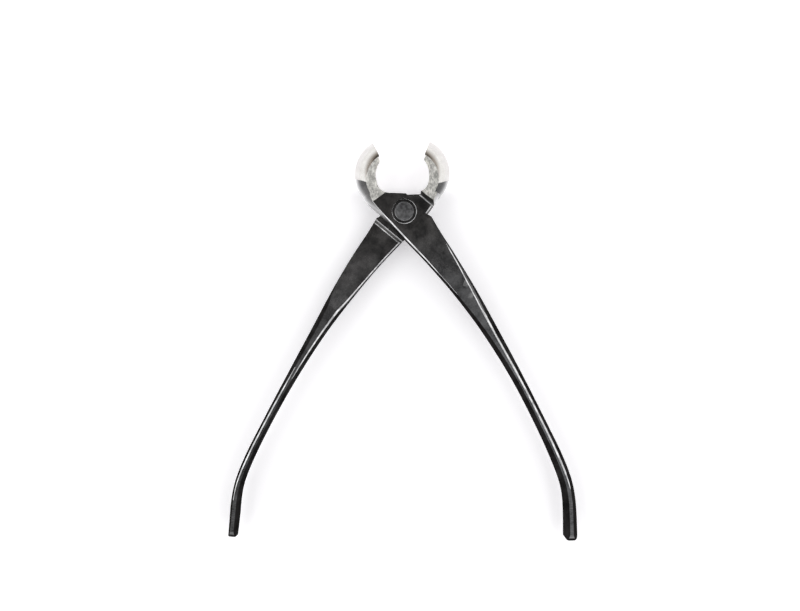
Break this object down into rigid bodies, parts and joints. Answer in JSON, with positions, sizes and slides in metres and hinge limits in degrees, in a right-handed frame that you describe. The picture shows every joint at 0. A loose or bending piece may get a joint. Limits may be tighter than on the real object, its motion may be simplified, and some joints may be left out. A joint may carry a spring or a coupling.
{
  "type": "concave cutter",
  "caption": "Two-lever bonsai branch cutter with hollow ball-shaped jaws on a riveted half-lap joint, modelled open.",
  "frame": {"origin": "on the pivot axis, in the plane of the joint's flat underside", "axes": "+Z along the pivot axis, up out of the joint's top face; +Y from the pivot towards the jaws, halfway between the two halves; +X to the right seen from above"},
  "size_m": [0.164, 0.1872, 0.0172],
  "materials": {
    "black_steel": "gloss black, with bare ground steel on the jaws",
    "rivet_steel": "satin dark grey"
  },
  "bodies": {
    "rear": {"rear_half": "black_steel", "pivot_rivet": "rivet_steel"},
    "front": {"front_half": "black_steel"}
  },
  "joints": [
    {"name": "pivot", "type": "hinge", "parent": "rear", "child": "front", "pos_m": [0, 0, 0.0062], "axis": [0, 0, 1], "range_deg": [-44.3, 9]}
  ]
}
